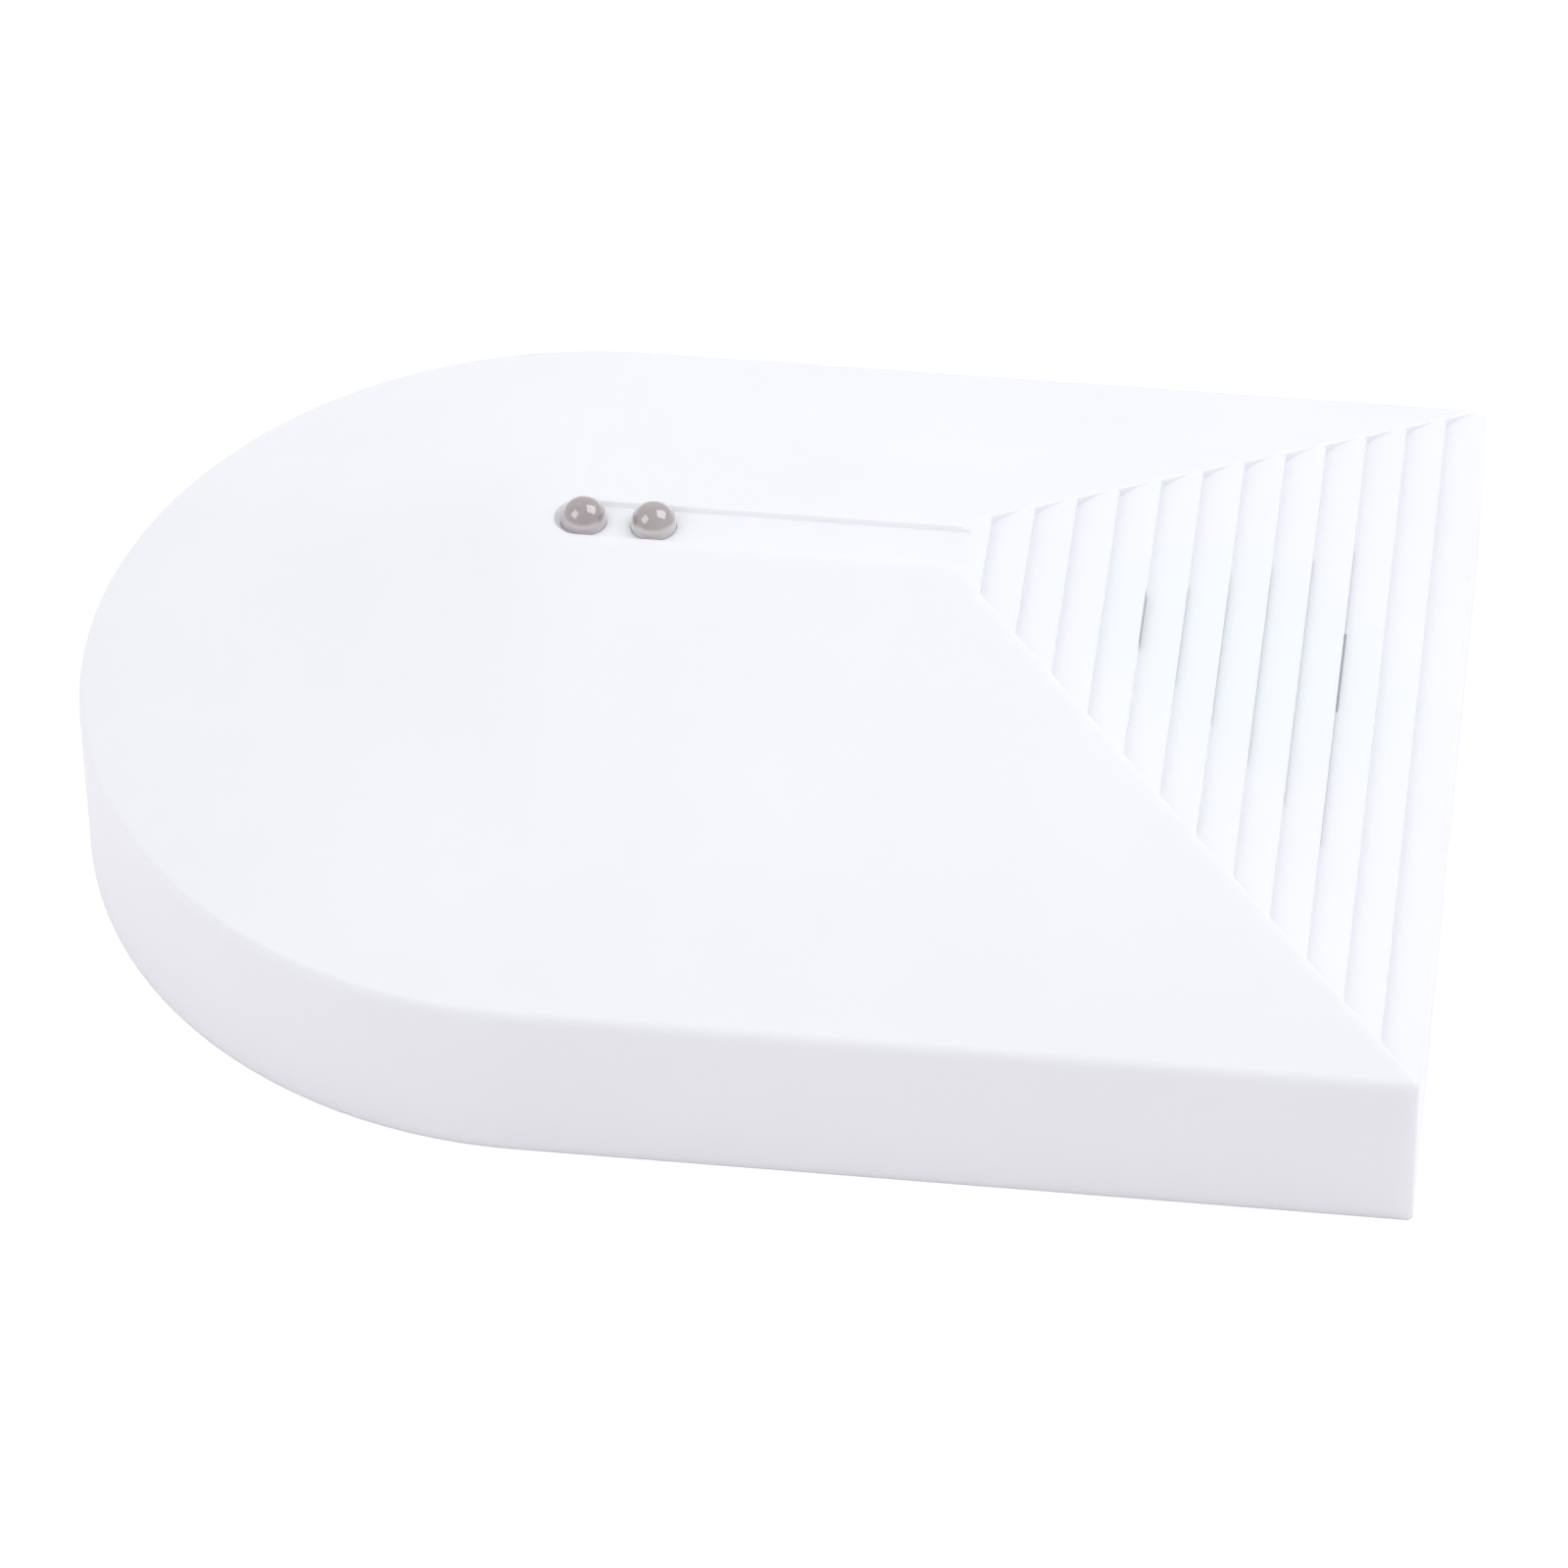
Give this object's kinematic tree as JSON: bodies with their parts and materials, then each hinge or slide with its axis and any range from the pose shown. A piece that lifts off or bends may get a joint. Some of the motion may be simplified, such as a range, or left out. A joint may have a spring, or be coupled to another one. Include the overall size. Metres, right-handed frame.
{
  "type": "glass break detector",
  "caption": "Wired glass break detector: a D shaped white case with a hipped roof, a slot with indicator lights, stepped louvres over a microphone, and a back plate with terminals.",
  "frame": {"origin": "middle of the back face, the face that goes against the wall", "axes": "+X along the case towards its straight, louvred end, +Y across it, +Z out of the front, away from the wall"},
  "size_m": [0.093, 0.068, 0.0271],
  "materials": {
    "white_abs": "fine satin texture",
    "back_abs": "fine satin texture",
    "dust_cloth": "woven black cloth",
    "board": "solder resist over copper tracks",
    "screw_steel": "zinc plated",
    "tinned_copper": "tinned",
    "led_epoxy": "clear cast epoxy",
    "black_nylon": "moulded",
    "microphone_can": "drawn can",
    "felt": "felt",
    "boot_rubber": "moulded",
    "terminal_green": "moulded",
    "clamp_brass": "nickel plated brass",
    "spring_steel": "drawn wire",
    "plunger_white": "moulded",
    "trimmer_blue": "moulded",
    "rotor_white": "moulded",
    "gold_pins": "gold flashed",
    "relay_black": "moulded",
    "coil_copper": "enamelled copper winding",
    "soft_iron": "nickel plated soft iron",
    "capacitor_sleeve": "shrunk sleeve",
    "chip_epoxy": "moulded epoxy",
    "crystal_can": "drawn can",
    "resistor_lacquer": "lacquered",
    "diode_epoxy": "moulded epoxy",
    "ceramic_body": "fired"
  },
  "bodies": {
    "base": {"back_plate": "back_abs", "circuit_board": "board", "board_screws": "screw_steel", "left_led": "led_epoxy", "right_led": "led_epoxy", "led_leads": "tinned_copper", "led_spacer": "black_nylon", "microphone_capsule": "microphone_can", "microphone_felt": "felt", "microphone_boot": "boot_rubber", "terminal_housing": "terminal_green", "terminal_contacts": "tinned_copper", "tamper_body": "black_nylon", "tamper_lid": "screw_steel", "tamper_spring": "spring_steel", "trimmer_body": "trimmer_blue", "jumper_header": "black_nylon", "jumper_pins": "gold_pins", "relay_cover": "relay_black", "relay_base": "relay_black", "relay_yoke": "soft_iron", "relay_coil": "coil_copper", "relay_contacts": "tinned_copper", "electrolytic_capacitors": "capacitor_sleeve", "controller_chip": "chip_epoxy", "controller_leads": "tinned_copper", "amplifier_chip": "chip_epoxy", "amplifier_leads": "tinned_copper", "crystal": "crystal_can", "regulator": "chip_epoxy", "resistors": "resistor_lacquer", "diodes": "diode_epoxy", "ceramic_capacitors": "ceramic_body", "component_leads": "tinned_copper"},
    "cover": {"front_cover": "white_abs", "dust_cloth": "dust_cloth"},
    "tamper_plunger": {"tamper_plunger": "plunger_white"},
    "trimmer_rotor": {"trimmer_rotor": "rotor_white"},
    "jumper_cap_1": {"jumper_cap_1": "black_nylon"},
    "jumper_cap_2": {"jumper_cap_2": "black_nylon"},
    "relay_armature": {"relay_armature": "soft_iron"},
    "terminal_screw_1": {"terminal_screw_1": "screw_steel"},
    "terminal_clamp_1": {"terminal_clamp_1": "clamp_brass"},
    "terminal_screw_2": {"terminal_screw_2": "screw_steel"},
    "terminal_clamp_2": {"terminal_clamp_2": "clamp_brass"},
    "terminal_screw_3": {"terminal_screw_3": "screw_steel"},
    "terminal_clamp_3": {"terminal_clamp_3": "clamp_brass"},
    "terminal_screw_4": {"terminal_screw_4": "screw_steel"},
    "terminal_clamp_4": {"terminal_clamp_4": "clamp_brass"},
    "terminal_screw_5": {"terminal_screw_5": "screw_steel"},
    "terminal_clamp_5": {"terminal_clamp_5": "clamp_brass"},
    "terminal_screw_6": {"terminal_screw_6": "screw_steel"},
    "terminal_clamp_6": {"terminal_clamp_6": "clamp_brass"},
    "terminal_screw_7": {"terminal_screw_7": "screw_steel"},
    "terminal_clamp_7": {"terminal_clamp_7": "clamp_brass"}
  },
  "joints": [
    {"name": "cover_lift", "type": "slide", "parent": "base", "child": "cover", "axis": [0, 0, 1], "range_m": [0, 0.045]},
    {"name": "tamper_press", "type": "slide", "parent": "base", "child": "tamper_plunger", "axis": [0, 0, 1], "range_m": [-0.0008, 0], "stiffness_N_per_m": 150, "springref_m": 0.003, "deforming": ["tamper_spring"]},
    {"name": "trimmer_turn", "type": "hinge", "parent": "base", "child": "trimmer_rotor", "pos_m": [-0.026, 0.013, 0.0126], "axis": [0, 0, 1], "range_deg": [-130, 130]},
    {"name": "jumper_1_pull", "type": "slide", "parent": "base", "child": "jumper_cap_1", "axis": [0, 0, 1], "range_m": [0, 0.0046]},
    {"name": "jumper_2_pull", "type": "slide", "parent": "base", "child": "jumper_cap_2", "axis": [0, 0, 1], "range_m": [0, 0.0046]},
    {"name": "armature_pull_in", "type": "hinge", "parent": "base", "child": "relay_armature", "pos_m": [0.00655, 0, 0.0185], "axis": [0, 1, 0], "range_deg": [0, 4], "stiffness_Nm_per_rad": 0.0001},
    {"name": "terminal_1_turn", "type": "hinge", "parent": "base", "child": "terminal_screw_1", "pos_m": [-0.0145, 0.01145, 0.016], "axis": [0, 0, -1], "range_deg": [0, 1153]},
    {"name": "terminal_1_rise", "type": "slide", "parent": "base", "child": "terminal_clamp_1", "axis": [0, 0, 1], "range_m": [0, 0.0016]},
    {"name": "terminal_2_turn", "type": "hinge", "parent": "base", "child": "terminal_screw_2", "pos_m": [-0.0095, 0.01145, 0.016], "axis": [0, 0, -1], "range_deg": [0, 1153]},
    {"name": "terminal_2_rise", "type": "slide", "parent": "base", "child": "terminal_clamp_2", "axis": [0, 0, 1], "range_m": [0, 0.0016]},
    {"name": "terminal_3_turn", "type": "hinge", "parent": "base", "child": "terminal_screw_3", "pos_m": [-0.0045, 0.01145, 0.016], "axis": [0, 0, -1], "range_deg": [0, 1153]},
    {"name": "terminal_3_rise", "type": "slide", "parent": "base", "child": "terminal_clamp_3", "axis": [0, 0, 1], "range_m": [0, 0.0016]},
    {"name": "terminal_4_turn", "type": "hinge", "parent": "base", "child": "terminal_screw_4", "pos_m": [0.0005, 0.01145, 0.016], "axis": [0, 0, -1], "range_deg": [0, 1153]},
    {"name": "terminal_4_rise", "type": "slide", "parent": "base", "child": "terminal_clamp_4", "axis": [0, 0, 1], "range_m": [0, 0.0016]},
    {"name": "terminal_5_turn", "type": "hinge", "parent": "base", "child": "terminal_screw_5", "pos_m": [0.0055, 0.01145, 0.016], "axis": [0, 0, -1], "range_deg": [0, 1153]},
    {"name": "terminal_5_rise", "type": "slide", "parent": "base", "child": "terminal_clamp_5", "axis": [0, 0, 1], "range_m": [0, 0.0016]},
    {"name": "terminal_6_turn", "type": "hinge", "parent": "base", "child": "terminal_screw_6", "pos_m": [0.0105, 0.01145, 0.016], "axis": [0, 0, -1], "range_deg": [0, 1153]},
    {"name": "terminal_6_rise", "type": "slide", "parent": "base", "child": "terminal_clamp_6", "axis": [0, 0, 1], "range_m": [0, 0.0016]},
    {"name": "terminal_7_turn", "type": "hinge", "parent": "base", "child": "terminal_screw_7", "pos_m": [0.0155, 0.01145, 0.016], "axis": [0, 0, -1], "range_deg": [0, 1153]},
    {"name": "terminal_7_rise", "type": "slide", "parent": "base", "child": "terminal_clamp_7", "axis": [0, 0, 1], "range_m": [0, 0.0016]}
  ],
  "couplings": [
    {"joint": "terminal_1_turn", "follows": "terminal_1_rise", "rad_per_m": 12566},
    {"joint": "terminal_2_turn", "follows": "terminal_2_rise", "rad_per_m": 12566},
    {"joint": "terminal_3_turn", "follows": "terminal_3_rise", "rad_per_m": 12566},
    {"joint": "terminal_4_turn", "follows": "terminal_4_rise", "rad_per_m": 12566},
    {"joint": "terminal_5_turn", "follows": "terminal_5_rise", "rad_per_m": 12566},
    {"joint": "terminal_6_turn", "follows": "terminal_6_rise", "rad_per_m": 12566},
    {"joint": "terminal_7_turn", "follows": "terminal_7_rise", "rad_per_m": 12566}
  ]
}
